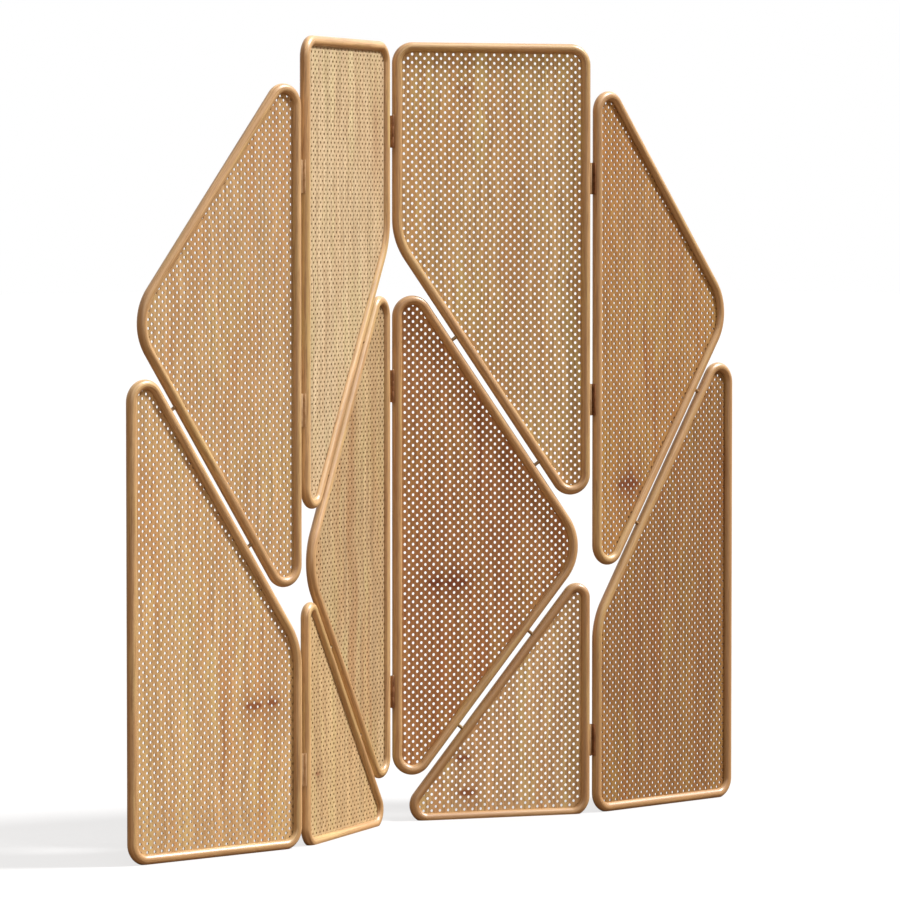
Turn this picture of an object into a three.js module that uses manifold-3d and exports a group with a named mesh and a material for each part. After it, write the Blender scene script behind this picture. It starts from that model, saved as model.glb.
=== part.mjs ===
// Four-leaf folding screen in oak. Each leaf is made of round-section rod frames bent into rounded
// triangles and four-sided outlines, each holding a thin perforated sheet in a groove. The frames of
// a leaf are joined by short dowels, and the leaves by three butt hinges at each fold.
// Millimetres, +Z up. X runs along the screen, -Y is the side with the open angle of the middle fold.
import * as THREE from 'three';
import { mergeVertices } from 'three/addons/utils/BufferGeometryUtils.js';
import Module from 'manifold-3d';

const wasm = await Module();
wasm.setup();

// ---------------------------------------------------------------- driving dimensions
const ROD_R = 11.5;              // frame rod radius
const LEAF_W = 466;              // between the centre lines of a leaf's two upright rods
const TOP_Z = 1788.5;            // centre line of the top rod on the two middle leaves
const ANGLE_STEEP = 35.0;        // the two slopes of every panel, from the vertical
const ANGLE_FLAT = 38.9;
const TRI_SIDE = 1235.5;         // upright side of the large triangle, between its sharp corners
const TRI_LOW_INNER = 50.5;      // where the middle leaves' triangle starts
const TRI_LOW_OUTER = 512.4;     // where the outer leaves' triangle starts
const SLOPE_PITCH = 34.5;        // between the centre lines of two frames that face each other
const FOOT_Z_INNER = 4.5;        // bottom rods' centre lines: the rod is planed flat at the floor
const FOOT_Z_OUTER = 9.5;
const R_TIP = 37;                // centre line radii of the bends
const R_TOP = 38;
const R_BLUNT = 109;
const R_BEND = 153;
const R_TOE = 32;
const R_HEAD = 23;

const SHEET_T = 3;               // perforated sheet
const SHEET_IN = 6.5;            // sheet edge, inside the rod's centre line
const GROOVE_IN = 6.2;
const GROOVE_T = 3.6;

const DOWEL_R = 4;
const DOWEL_LEN = 24;            // 11.5 across the gap, the rest in the two rods
const DOWEL_HOLE_R = 4.35;
const DOWEL_HOLE_LEN = 24.8;

const PIN_OUT = 14.5;            // hinge pin, beyond the upright rod's centre line
const PIN_OFF = 13;              // and off the leaf's middle plane
const HINGE_H = 73.5;
const PLATE_T = 4;
const PLATE_GAP = 0.4;           // plate to the plane through the pin
const PLATE_W = 19;
const KNUCKLE_R = 3;
const KNUCKLE_MID = 11.7;        // half height of the middle knuckle
const KNUCKLE_END = 12;          // where the end knuckles begin
const PIN_R = 1.5;
const BORE_R = 1.85;
const HINGE_Z_MIDDLE = [302, 1008.5, 1594];
const HINGE_Z_SIDE = [172, 971, 1487.5];

const FOLD_INNER = 24.3;         // degrees: the middle leaves against X
const FOLD_OUTER = 1.9;          // degrees: the outer leaves against X
const SHIFT_Y = 93.342;          // middle fold's pin, so that the box is centred on Y = 0

const ARC_STEP = 20;             // degrees of bend for each facet along the rod
const SECTION_SIDES = 12;

// ---------------------------------------------------------------- materials
const oakFrame = new THREE.MeshStandardMaterial({ color: 0xb88a5c, roughness: 0.4, metalness: 0 });
const oakSheet = new THREE.MeshStandardMaterial({ color: 0xc49a6c, roughness: 0.55, metalness: 0 });
const oakDowel = new THREE.MeshStandardMaterial({ color: 0x9a6b42, roughness: 0.5, metalness: 0 });
const bronze = new THREE.MeshStandardMaterial({ color: 0x6b4423, roughness: 0.4, metalness: 0.8 });
const steel = new THREE.MeshStandardMaterial({ color: 0x8a6a48, roughness: 0.35, metalness: 0.9 });

// ---------------------------------------------------------------- solids
const rad = (d) => (d * Math.PI) / 180;

function toSolid(geometry) {
  const g = geometry.clone();
  g.deleteAttribute('normal');
  g.deleteAttribute('uv');
  const m = mergeVertices(g, 1e-4);
  return new wasm.Manifold(new wasm.Mesh({
    numProp: 3,
    vertProperties: new Float32Array(m.attributes.position.array),
    triVerts: new Uint32Array(m.index.array),
  }));
}

function toGeometry(solid) {
  const mesh = solid.getMesh();
  const g = new THREE.BufferGeometry();
  const n = mesh.numProp;
  const pos = new Float32Array((mesh.vertProperties.length / n) * 3);
  for (let i = 0; i < pos.length / 3; i++) {
    for (let k = 0; k < 3; k++) pos[i * 3 + k] = mesh.vertProperties[i * n + k];
  }
  g.setAttribute('position', new THREE.BufferAttribute(pos, 3));
  g.setIndex(new THREE.BufferAttribute(new Uint32Array(mesh.triVerts), 1));
  g.computeVertexNormals();
  return g;
}

const box = (x0, x1, y0, y1, z0, z1) => {
  const g = new THREE.BoxGeometry(x1 - x0, y1 - y0, z1 - z0);
  g.translate((x0 + x1) / 2, (y0 + y1) / 2, (z0 + z1) / 2);
  return g;
};

const rodZ = (r, x, y, z0, z1, sides = 12) => {
  const g = new THREE.CylinderGeometry(r, r, z1 - z0, sides);
  g.rotateX(Math.PI / 2);
  g.translate(x, y, (z0 + z1) / 2);
  return g;
};

// A convex outline with rounded corners. corners is [across, up, radius], counter-clockwise;
// out moves it outwards by that much, keeping the bends' centres.
function outline(corners, out) {
  const pts = [];
  const n = corners.length;
  for (let i = 0; i < n; i++) {
    const a = corners[(i + n - 1) % n];
    const b = corners[i];
    const c = corners[(i + 1) % n];
    const t1 = new THREE.Vector2(b[0] - a[0], b[1] - a[1]).normalize();
    const t2 = new THREE.Vector2(c[0] - b[0], c[1] - b[1]).normalize();
    const n1 = new THREE.Vector2(-t1.y, t1.x);
    const n2 = new THREE.Vector2(-t2.y, t2.x);
    const k = b[2] / (1 + n1.dot(n2));
    const cx = b[0] + (n1.x + n2.x) * k;
    const cy = b[1] + (n1.y + n2.y) * k;
    let a1 = Math.atan2(-n1.y, -n1.x);
    let turn = Math.atan2(-n2.y, -n2.x) - a1;
    while (turn < 0) turn += 2 * Math.PI;
    const steps = Math.max(3, Math.round((turn * 180) / Math.PI / ARC_STEP));
    for (let s = 0; s <= steps; s++) {
      const w = a1 + (turn * s) / steps;
      pts.push(new THREE.Vector2(cx + (b[2] + out) * Math.cos(w), cy + (b[2] + out) * Math.sin(w)));
    }
  }
  return pts;
}

// The rod's section: a round bar with the sheet's groove on its inner side. [outwards, depth]
function rodSection() {
  const pts = [];
  const gap = GROOVE_T / 2;
  const mouth = Math.sqrt(ROD_R * ROD_R - gap * gap);
  for (let i = 0; i < SECTION_SIDES; i++) {
    const w = Math.PI + (2 * Math.PI * i) / SECTION_SIDES;
    if (i === 0) {
      pts.push([-mouth, gap], [-GROOVE_IN, gap], [-GROOVE_IN, -gap], [-mouth, -gap]);
    } else {
      pts.push([ROD_R * Math.cos(w), ROD_R * Math.sin(w)]);
    }
  }
  return pts;
}

// A frame: the section carried round the closed outline. Lies in the leaf's plane, XZ.
function frameGeometry(corners, flip) {
  const section = rodSection();
  const rings = section.map(([out, depth]) => outline(corners, out).map((p) => [p.x * flip, depth, p.y]));
  const n = rings[0].length;
  const m = rings.length;
  const pos = [];
  for (const ring of rings) for (const p of ring) pos.push(...p);
  const idx = [];
  for (let k = 0; k < m; k++) {
    for (let i = 0; i < n; i++) {
      const a = k * n + i;
      const b = k * n + ((i + 1) % n);
      const c = ((k + 1) % m) * n + ((i + 1) % n);
      const d = ((k + 1) % m) * n + i;
      if (flip > 0) idx.push(a, c, b, a, d, c);
      else idx.push(a, b, c, a, c, d);
    }
  }
  const g = new THREE.BufferGeometry();
  g.setAttribute('position', new THREE.BufferAttribute(new Float32Array(pos), 3));
  g.setIndex(idx);
  g.computeVertexNormals();
  return g;
}

function sheetGeometry(corners, flip) {
  const shape = new THREE.Shape(outline(corners, -SHEET_IN).map((p) => new THREE.Vector2(p.x * flip, p.y)));
  const g = new THREE.ExtrudeGeometry(shape, { depth: SHEET_T, bevelEnabled: false });
  g.translate(0, 0, -SHEET_T / 2);
  g.rotateX(Math.PI / 2);
  return g;
}

// ---------------------------------------------------------------- panels of one leaf
const tanS = Math.tan(rad(ANGLE_STEEP));
const tanF = Math.tan(rad(ANGLE_FLAT));
const upS = SLOPE_PITCH / Math.sin(rad(ANGLE_STEEP));   // the same pitch, measured upright
const upF = SLOPE_PITCH / Math.sin(rad(ANGLE_FLAT));
const triReach = TRI_SIDE / (1 / tanS + 1 / tanF);

// across is 0 at the upright rod next to the middle of the screen, LEAF_W at the outer one
const triInnerTop = TRI_LOW_INNER + TRI_SIDE;
const innerPanels = {
  upper: [
    [0, triInnerTop + upS, R_BEND],
    [LEAF_W, triInnerTop + upS - LEAF_W / tanS, R_TIP],
    [LEAF_W, TOP_Z, R_TOP],
    [0, TOP_Z, R_TOP],
  ],
  middle: [
    [0, TRI_LOW_INNER, R_TIP],
    [triReach, TRI_LOW_INNER + triReach / tanF, R_BLUNT],
    [0, triInnerTop, R_TIP],
  ],
  lower: [
    [(FOOT_Z_INNER - TRI_LOW_INNER + upF) * tanF, FOOT_Z_INNER, R_TOE],
    [LEAF_W, FOOT_Z_INNER, R_TIP],
    [LEAF_W, TRI_LOW_INNER - upF + LEAF_W / tanF, R_HEAD],
  ],
};
const outerPanels = {
  upper: [
    [0, TRI_LOW_OUTER, R_TIP],
    [triReach, TRI_LOW_OUTER + triReach / tanS, R_BLUNT],
    [0, TRI_LOW_OUTER + TRI_SIDE, R_TIP],
  ],
  lower: [
    [0, FOOT_Z_OUTER, R_TIP],
    [LEAF_W, FOOT_Z_OUTER, R_TIP],
    [LEAF_W, TRI_LOW_OUTER - upS + LEAF_W / tanS, R_TIP],
    [0, TRI_LOW_OUTER - upS, R_BEND],
  ],
};

// Dowels cross the gap between two frames squarely. across, the line's height at 0, up per across,
// and the angle of the line from the vertical.
const innerDowels = [
  { frames: ['upper', 'middle'], at: 139.6, z0: triInnerTop + upS / 2, slope: -1 / tanS },
  { frames: ['upper', 'middle'], at: 344.6, z0: triInnerTop + upS / 2, slope: -1 / tanS },
  { frames: ['middle', 'lower'], at: 328.5, z0: TRI_LOW_INNER - upF / 2, slope: 1 / tanF },
  { frames: ['middle', 'lower'], at: 155.0, z0: TRI_LOW_INNER - upF / 2, slope: 1 / tanF },
];
const outerDowels = [
  { frames: ['upper', 'lower'], at: 351.0, z0: TRI_LOW_OUTER - upS / 2, slope: 1 / tanS },
  { frames: ['upper', 'lower'], at: 136.5, z0: TRI_LOW_OUTER - upS / 2, slope: 1 / tanS },
];

function dowelGeometry(d, flip, radius, length) {
  const g = new THREE.CylinderGeometry(radius, radius, length, 12);
  const across = new THREE.Vector3(d.slope * flip, 0, -1).normalize();   // square to the line
  g.applyQuaternion(new THREE.Quaternion().setFromUnitVectors(new THREE.Vector3(0, 1, 0), across));
  g.translate(d.at * flip, 0, d.z0 + d.slope * d.at);
  return g;
}

// ---------------------------------------------------------------- hinges
// pin: the pin's place in the leaf. sx: from the pin towards the leaf. sy: from the pin towards the
// leaf's middle plane. ends: this plate has the two end knuckles, else the middle one.
function plateGeometry(pin, sx, sy, z, ends) {
  const h = HINGE_H / 2;
  const xs = [pin[0] + sx * PLATE_GAP, pin[0] + sx * (PLATE_GAP + PLATE_T)].sort((a, b) => a - b);
  const ys = [pin[1], pin[1] + sy * PLATE_W].sort((a, b) => a - b);
  let s = toSolid(box(xs[0], xs[1], ys[0], ys[1], z - h, z + h));
  const mine = ends ? [[-h, -KNUCKLE_END], [KNUCKLE_END, h]] : [[-KNUCKLE_MID, KNUCKLE_MID]];
  const other = ends ? [[-KNUCKLE_END, KNUCKLE_END]] : [[-h - 1, -KNUCKLE_MID], [KNUCKLE_MID, h + 1]];
  for (const [a, b] of other) s = s.subtract(toSolid(rodZ(KNUCKLE_R + 0.4, pin[0], pin[1], z + a, z + b)));
  for (const [a, b] of mine) s = s.add(toSolid(rodZ(KNUCKLE_R, pin[0], pin[1], z + a, z + b)));
  s = s.subtract(toSolid(rodZ(BORE_R, pin[0], pin[1], z - h - 2, z + h + 2, 8)));
  return toGeometry(s);
}

function pinGeometry(pin, z) {
  const h = HINGE_H / 2;
  const profile = [
    [0, -h - 2], [2.6, -h - 2], [2.6, -h - 0.3], [PIN_R, -h - 0.3],
    [PIN_R, h + 0.3], [2.6, h + 0.3], [2.6, h + 2], [0, h + 2],
  ].map(([r, y]) => new THREE.Vector2(r, y));
  const g = new THREE.LatheGeometry(profile, 8);
  g.rotateX(Math.PI / 2);
  g.translate(pin[0], pin[1], z);
  return g;
}

// ---------------------------------------------------------------- leaves
// flip 1: the leaf runs from its first upright towards +X; flip -1: the mirrored leaf.
// hinges: [end, side] with end 0 (next to the middle) or LEAF_W, and side the pin's Y sign.
function leaf(name, flip, panels, dowels, hinges) {
  const group = new THREE.Group();
  const cuts = {};
  for (const panel of Object.keys(panels)) cuts[panel] = [];

  for (const d of dowels) {
    for (const f of d.frames) cuts[f].push(dowelGeometry(d, flip, DOWEL_HOLE_R, DOWEL_HOLE_LEN));
  }
  for (const hinge of hinges) {
    const pinX = hinge.end === 0 ? -PIN_OUT * flip : (LEAF_W + PIN_OUT) * flip;
    const sx = hinge.end === 0 ? flip : -flip;
    const deep = PLATE_GAP + PLATE_T + 0.3;
    for (const z of hinge.z) {
      const xs = [pinX, pinX + sx * deep].sort((a, b) => a - b);
      const ys = [hinge.side * (PIN_OFF - PLATE_W - 0.3), hinge.side * (ROD_R + 1)].sort((a, b) => a - b);
      const cut = box(xs[0], xs[1], ys[0], ys[1], z - HINGE_H / 2 - 0.3, z + HINGE_H / 2 + 0.3);
      for (const panel of Object.keys(panels)) {
        const ups = panels[panel].filter((c) => Math.abs(c[0] - hinge.end) < 8).map((c) => c[1]);
        if (ups.length > 1 && Math.min(...ups) < z && z < Math.max(...ups)) cuts[panel].push(cut);
      }
    }
  }

  for (const [panel, corners] of Object.entries(panels)) {
    const low = Math.min(...corners.map((c) => c[1]));
    if (low < ROD_R) cuts[panel].push(box(-600, 600, -40, 40, -40, 0));
    let solid = toSolid(frameGeometry(corners, flip));
    for (const c of cuts[panel]) solid = solid.subtract(toSolid(c));
    const frame = new THREE.Mesh(toGeometry(solid), oakFrame);
    frame.name = `${name}_${panel}_frame`;
    const sheet = new THREE.Mesh(sheetGeometry(corners, flip), oakSheet);
    sheet.name = `${name}_${panel}_sheet`;
    group.add(frame, sheet);
  }
  dowels.forEach((d, i) => {
    const dowel = new THREE.Mesh(dowelGeometry(d, flip, DOWEL_R, DOWEL_LEN), oakDowel);
    dowel.name = `${name}_dowel_${i + 1}`;
    group.add(dowel);
  });
  const levels = ['bottom', 'middle', 'top'];
  for (const hinge of hinges) {
    const pin = [hinge.end === 0 ? -PIN_OUT * flip : (LEAF_W + PIN_OUT) * flip, hinge.side * PIN_OFF];
    const sx = hinge.end === 0 ? flip : -flip;
    hinge.z.forEach((z, i) => {
      const plate = new THREE.Mesh(plateGeometry(pin, sx, -hinge.side, z, hinge.ends), bronze);
      plate.name = `hinge_${hinge.name}_${levels[i]}_plate_${name.slice(-1)}`;
      group.add(plate);
      if (hinge.ends) {
        const p = new THREE.Mesh(pinGeometry(pin, z), steel);
        p.name = `hinge_${hinge.name}_${levels[i]}_pin`;
        group.add(p);
      }
    });
  }
  return group;
}

const rot = (deg, [x, y]) => {
  const c = Math.cos(rad(deg));
  const s = Math.sin(rad(deg));
  return [c * x - s * y, s * x + c * y];
};
const place = (group, deg, pinWorld, pinLocal) => {
  const [x, y] = rot(deg, pinLocal);
  group.rotation.z = rad(deg);
  group.position.set(pinWorld[0] - x, pinWorld[1] - y, 0);
  return (local) => {
    const [u, v] = rot(deg, local);
    return [group.position.x + u, group.position.y + v];
  };
};

const screen = new THREE.Group();

const leafB = leaf('leaf_b', -1, innerPanels, innerDowels, [
  { name: 'bc', end: 0, side: -1, z: HINGE_Z_MIDDLE, ends: true },
  { name: 'ab', end: LEAF_W, side: 1, z: HINGE_Z_SIDE, ends: true },
]);
const leafC = leaf('leaf_c', 1, innerPanels, innerDowels, [
  { name: 'bc', end: 0, side: -1, z: HINGE_Z_MIDDLE, ends: false },
  { name: 'cd', end: LEAF_W, side: 1, z: HINGE_Z_SIDE, ends: true },
]);
const leafA = leaf('leaf_a', -1, outerPanels, outerDowels, [
  { name: 'ab', end: 0, side: 1, z: HINGE_Z_SIDE, ends: false },
]);
const leafD = leaf('leaf_d', 1, outerPanels, outerDowels, [
  { name: 'cd', end: 0, side: 1, z: HINGE_Z_SIDE, ends: false },
]);

const pinBC = [0, SHIFT_Y];
const fromB = place(leafB, FOLD_INNER, pinBC, [PIN_OUT, -PIN_OFF]);
const fromC = place(leafC, -FOLD_INNER, pinBC, [-PIN_OUT, -PIN_OFF]);
const pinAB = fromB([-(LEAF_W + PIN_OUT), PIN_OFF]);
const pinCD = fromC([LEAF_W + PIN_OUT, PIN_OFF]);
place(leafA, -FOLD_OUTER, pinAB, [PIN_OUT, PIN_OFF]);
place(leafD, FOLD_OUTER, pinCD, [-PIN_OUT, PIN_OFF]);

screen.add(leafA, leafB, leafC, leafD);

export default screen;
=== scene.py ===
import math
import random

import bmesh
import bpy
import numpy as np
from mathutils import Matrix, Vector
from mathutils.geometry import delaunay_2d_cdt


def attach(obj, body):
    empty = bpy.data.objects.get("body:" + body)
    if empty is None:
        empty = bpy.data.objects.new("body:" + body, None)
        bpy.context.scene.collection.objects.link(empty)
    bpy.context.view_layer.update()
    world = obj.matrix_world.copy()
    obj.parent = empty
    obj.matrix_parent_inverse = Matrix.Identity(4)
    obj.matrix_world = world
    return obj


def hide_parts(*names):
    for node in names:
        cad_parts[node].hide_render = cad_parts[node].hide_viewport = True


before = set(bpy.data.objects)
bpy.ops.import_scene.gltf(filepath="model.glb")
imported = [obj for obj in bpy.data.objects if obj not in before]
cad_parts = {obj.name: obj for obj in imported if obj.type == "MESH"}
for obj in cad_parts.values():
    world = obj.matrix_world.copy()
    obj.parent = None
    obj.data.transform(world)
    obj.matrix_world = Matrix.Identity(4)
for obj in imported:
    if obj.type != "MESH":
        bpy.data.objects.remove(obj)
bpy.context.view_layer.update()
SCENE = bpy.context.scene
MM = 0.001

# ---------------------------------------------------------------- camera
# A long lens, level with the upper part of the screen and turned towards its left front.
CAMERA_AT = (-7.9810, -8.3227, 1.4035)
CAMERA_YAW = math.radians(44.130)
CAMERA_DOWN = math.radians(2.6755)
CAMERA_LENS = 5038.2 / 900 * 36

cam = bpy.data.cameras.new("camera")
cam.sensor_width = 36
cam.lens = CAMERA_LENS
cam.clip_end = 200
camera = bpy.data.objects.new("camera", cam)
camera.location = CAMERA_AT
camera.rotation_euler = (math.pi / 2 - CAMERA_DOWN, 0, -CAMERA_YAW)
SCENE.collection.objects.link(camera)
SCENE.camera = camera

# ---------------------------------------------------------------- dimensions, as in the CAD model
ROD_R = 11.5
LEAF_W = 466
TOP_Z = 1788.5
TAN_S = math.tan(math.radians(35.0))
TAN_F = math.tan(math.radians(38.9))
TRI_SIDE = 1235.5
TRI_LOW_INNER = 50.5
TRI_LOW_OUTER = 512.4
UP_S = 34.5 / math.sin(math.radians(35.0))
UP_F = 34.5 / math.sin(math.radians(38.9))
TRI_REACH = TRI_SIDE / (1 / TAN_S + 1 / TAN_F)
TRI_TOP = TRI_LOW_INNER + TRI_SIDE
SHEET_T = 3.0
SHEET_IN = 6.5
GROOVE_IN = 6.2
GROOVE_T = 3.6
DOWEL_R, DOWEL_LEN = 4, 24
DOWEL_HOLE_R, DOWEL_HOLE_LEN = 4.35, 24.8
PIN_OUT, PIN_OFF = 14.5, 13
HINGE_H, PLATE_T, PLATE_GAP, PLATE_W = 73.5, 4, 0.4, 19
KNUCKLE_R, KNUCKLE_MID, KNUCKLE_END = 3, 11.7, 12
PIN_R, BORE_R = 1.5, 1.85
HINGE_Z_MIDDLE = (302, 1008.5, 1594)
HINGE_Z_SIDE = (172, 971, 1487.5)
FOLD_INNER, FOLD_OUTER = 24.3, 1.9
SHIFT_Y = 93.342

# Perforation: a staggered grid, half pitches and hole radius.
PITCH_X, PITCH_Z = 10.0857, 9.5364
HOLE_R = 3.5
HOLE_SIDES = 12

INNER = {
    "upper": [(0, TRI_TOP + UP_S, 153), (LEAF_W, TRI_TOP + UP_S - LEAF_W / TAN_S, 37), (LEAF_W, TOP_Z, 38), (0, TOP_Z, 38)],
    "middle": [(0, TRI_LOW_INNER, 37), (TRI_REACH, TRI_LOW_INNER + TRI_REACH / TAN_F, 109), (0, TRI_TOP, 37)],
    "lower": [((4.5 - TRI_LOW_INNER + UP_F) * TAN_F, 4.5, 32), (LEAF_W, 4.5, 37), (LEAF_W, TRI_LOW_INNER - UP_F + LEAF_W / TAN_F, 23)],
}
OUTER = {
    "upper": [(0, TRI_LOW_OUTER, 37), (TRI_REACH, TRI_LOW_OUTER + TRI_REACH / TAN_S, 109), (0, TRI_LOW_OUTER + TRI_SIDE, 37)],
    "lower": [(0, 9.5, 37), (LEAF_W, 9.5, 37), (LEAF_W, TRI_LOW_OUTER - UP_S + LEAF_W / TAN_S, 37), (0, TRI_LOW_OUTER - UP_S, 153)],
}
# frames joined, place across, the gap line's height at 0 and its rise
DOWELS_INNER = [
    (("upper", "middle"), 139.6, TRI_TOP + UP_S / 2, -1 / TAN_S),
    (("upper", "middle"), 344.6, TRI_TOP + UP_S / 2, -1 / TAN_S),
    (("middle", "lower"), 328.5, TRI_LOW_INNER - UP_F / 2, 1 / TAN_F),
    (("middle", "lower"), 155.0, TRI_LOW_INNER - UP_F / 2, 1 / TAN_F),
]
DOWELS_OUTER = [
    (("upper", "lower"), 351.0, TRI_LOW_OUTER - UP_S / 2, 1 / TAN_S),
    (("upper", "lower"), 136.5, TRI_LOW_OUTER - UP_S / 2, 1 / TAN_S),
]
LEAVES = {
    "a": dict(flip=-1, panels=OUTER, dowels=DOWELS_OUTER, hinges=[("ab", 0, 1, HINGE_Z_SIDE, False)]),
    "b": dict(flip=-1, panels=INNER, dowels=DOWELS_INNER, hinges=[("bc", 0, -1, HINGE_Z_MIDDLE, True), ("ab", LEAF_W, 1, HINGE_Z_SIDE, True)]),
    "c": dict(flip=1, panels=INNER, dowels=DOWELS_INNER, hinges=[("bc", 0, -1, HINGE_Z_MIDDLE, False), ("cd", LEAF_W, 1, HINGE_Z_SIDE, True)]),
    "d": dict(flip=1, panels=OUTER, dowels=DOWELS_OUTER, hinges=[("cd", 0, 1, HINGE_Z_SIDE, False)]),
}
# one hole of each sheet's grid: across and height
GRID_AT = {
    "a_upper": (146.8, 1149.2), "a_lower": (264.0, 407.2),
    "b_upper": (240.4, 1372.9), "b_middle": (153.6, 670.5), "b_lower": (289.2, 175.4),
    "c_upper": (259.2, 1371.9), "c_middle": (150.2, 651.6), "c_lower": (316.9, 183.4),
    "d_upper": (159.4, 1138.9), "d_lower": (268.2, 387.8),
}


def turned(deg, p):
    c, s = math.cos(math.radians(deg)), math.sin(math.radians(deg))
    return c * p[0] - s * p[1], s * p[0] + c * p[1]


def placed(deg, pin_world, pin_local):
    x, y = turned(deg, pin_local)
    at = (pin_world[0] - x, pin_world[1] - y)
    m = Matrix.Translation((at[0] * MM, at[1] * MM, 0)) @ Matrix.Rotation(math.radians(deg), 4, "Z")
    return m, lambda p: tuple(a + b for a, b in zip(at, turned(deg, p)))


PIN_BC = (0, SHIFT_Y)
LEAVES["b"]["matrix"], from_b = placed(FOLD_INNER, PIN_BC, (PIN_OUT, -PIN_OFF))
LEAVES["c"]["matrix"], from_c = placed(-FOLD_INNER, PIN_BC, (-PIN_OUT, -PIN_OFF))
LEAVES["a"]["matrix"], _ = placed(-FOLD_OUTER, from_b((-(LEAF_W + PIN_OUT), PIN_OFF)), (PIN_OUT, PIN_OFF))
LEAVES["d"]["matrix"], _ = placed(FOLD_OUTER, from_c((LEAF_W + PIN_OUT, PIN_OFF)), (-PIN_OUT, PIN_OFF))


# ---------------------------------------------------------------- mesh helpers
def centre_line(corners, degrees=5.0, straight=None):
    """The rod's centre line round a panel: points, outward normals and length so far, and the whole length."""
    n = len(corners)
    pts, nor = [], []
    c = [np.array(x[:2], float) for x in corners]
    for i in range(n):
        a, b, d = c[i - 1], c[i], c[(i + 1) % n]
        t1 = (b - a) / np.linalg.norm(b - a)
        t2 = (d - b) / np.linalg.norm(d - b)
        n1, n2 = np.array([-t1[1], t1[0]]), np.array([-t2[1], t2[0]])
        radius = corners[i][2]
        mid = b + (n1 + n2) * radius / (1 + n1 @ n2)
        w0 = math.atan2(-n1[1], -n1[0])
        turn = (math.atan2(-n2[1], -n2[0]) - w0) % (2 * math.pi)
        steps = max(4, round(math.degrees(turn) / degrees))
        ws = w0 + turn * np.arange(steps + 1) / steps
        arc = np.stack([np.cos(ws), np.sin(ws)], 1)
        if straight and pts:
            p, q = pts[-1][-1], mid + radius * arc[0]
            k = max(1, int(np.linalg.norm(q - p) / straight))
            f = (np.arange(1, k) / k)[:, None]
            pts.append(p + (q - p) * f)
            nor.append(np.repeat(arc[:1], len(f), 0))
        pts.append(mid + radius * arc)
        nor.append(arc)
    if straight:
        p, q = pts[-1][-1], pts[0][0]
        k = max(1, int(np.linalg.norm(q - p) / straight))
        f = (np.arange(1, k) / k)[:, None]
        pts.append(p + (q - p) * f)
        nor.append(np.repeat(nor[-1][-1:], len(f), 0))
    pts, nor = np.concatenate(pts), np.concatenate(nor)
    step = np.linalg.norm(np.roll(pts, -1, 0) - pts, axis=1)
    return pts, nor, np.r_[0, np.cumsum(step)[:-1]], step.sum()


def link(name, mesh):
    ob = bpy.data.objects.new(name, mesh)
    SCENE.collection.objects.link(ob)
    return ob


def from_faces(name, verts, faces):
    me = bpy.data.meshes.new(name)
    me.from_pydata([tuple(v) for v in verts], [], faces)
    me.validate()
    return me


def outward(me):
    bm = bmesh.new()
    bm.from_mesh(me)
    bmesh.ops.recalc_face_normals(bm, faces=bm.faces)
    bm.to_mesh(me)
    bm.free()


def join_meshes(name, meshes):
    """One mesh from several [(mesh, matrix)]."""
    bm = bmesh.new()
    for me, m in meshes:
        start = len(bm.verts)
        bm.from_mesh(me)
        bm.verts.ensure_lookup_table()
        bmesh.ops.transform(bm, matrix=m, verts=bm.verts[start:])
    out = bpy.data.meshes.new(name)
    bmesh.ops.recalc_face_normals(bm, faces=bm.faces)
    bm.to_mesh(out)
    bm.free()
    return out


def boolean(me, steps):
    """me after each (operation, mesh) in turn."""
    ob = link("work", me)
    others = []
    for k, (operation, other) in enumerate(steps):
        tool = link(f"tool{k}", other)
        others.append(tool)
        mod = ob.modifiers.new(f"cut{k}", "BOOLEAN")
        mod.operation, mod.object, mod.solver = operation, tool, "EXACT"
    bpy.context.view_layer.update()
    done = bpy.data.meshes.new_from_object(ob.evaluated_get(bpy.context.evaluated_depsgraph_get()))
    for o in [ob] + others:
        bpy.data.objects.remove(o)
    return done


def smooth(me, degrees=28):
    me.polygons.foreach_set("use_smooth", [True] * len(me.polygons))
    me.set_sharp_from_angle(angle=math.radians(degrees))


def box_mesh(x0, x1, y0, y1, z0, z1):
    v = [(x, y, z) for z in (z0, z1) for y in (y0, y1) for x in (x0, x1)]
    f = [(0, 2, 3, 1), (4, 5, 7, 6), (0, 1, 5, 4), (2, 6, 7, 3), (0, 4, 6, 2), (1, 3, 7, 5)]
    return from_faces("box", v, f)


def lathe(profile, sides):
    """Round Z from (radius, height) pairs that begin and end on the axis."""
    verts, rows = [], []
    for r, z in profile:
        if r < 1e-9:
            rows.append([len(verts)])
            verts.append((0, 0, z))
        else:
            rows.append(list(range(len(verts), len(verts) + sides)))
            verts += [(r * math.cos(2 * math.pi * k / sides), r * math.sin(2 * math.pi * k / sides), z) for k in range(sides)]
    faces = []
    for p, q in zip(rows, rows[1:]):
        for k in range(sides):
            j = (k + 1) % sides
            if len(p) == 1 and len(q) == 1:
                continue
            if len(p) == 1:
                faces.append((p[0], q[j], q[k]))
            elif len(q) == 1:
                faces.append((p[k], p[j], q[0]))
            else:
                faces.append((p[k], p[j], q[j], q[k]))
    me = from_faces("lathe", verts, faces)
    outward(me)
    return me


def along(p, q):
    """The matrix that stands a Z-axis shape at p, towards q."""
    d = (Vector(q) - Vector(p)).normalized()
    return Matrix.Translation(p) @ d.to_track_quat("Z", "Y").to_matrix().to_4x4()


def moved(me, matrix):
    out = me.copy()
    out.transform(matrix)
    if matrix.to_3x3().determinant() < 0:
        out.flip_normals()
    return out


def vector_attribute(me, name, values):
    at = me.attributes.new(name, "FLOAT_VECTOR", "POINT")
    at.data.foreach_set("vector", np.asarray(values, np.float32).ravel())


def coordinates(me):
    co = np.zeros(len(me.vertices) * 3, np.float32)
    me.vertices.foreach_get("co", co)
    return co.reshape(-1, 3).astype(float)


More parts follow.
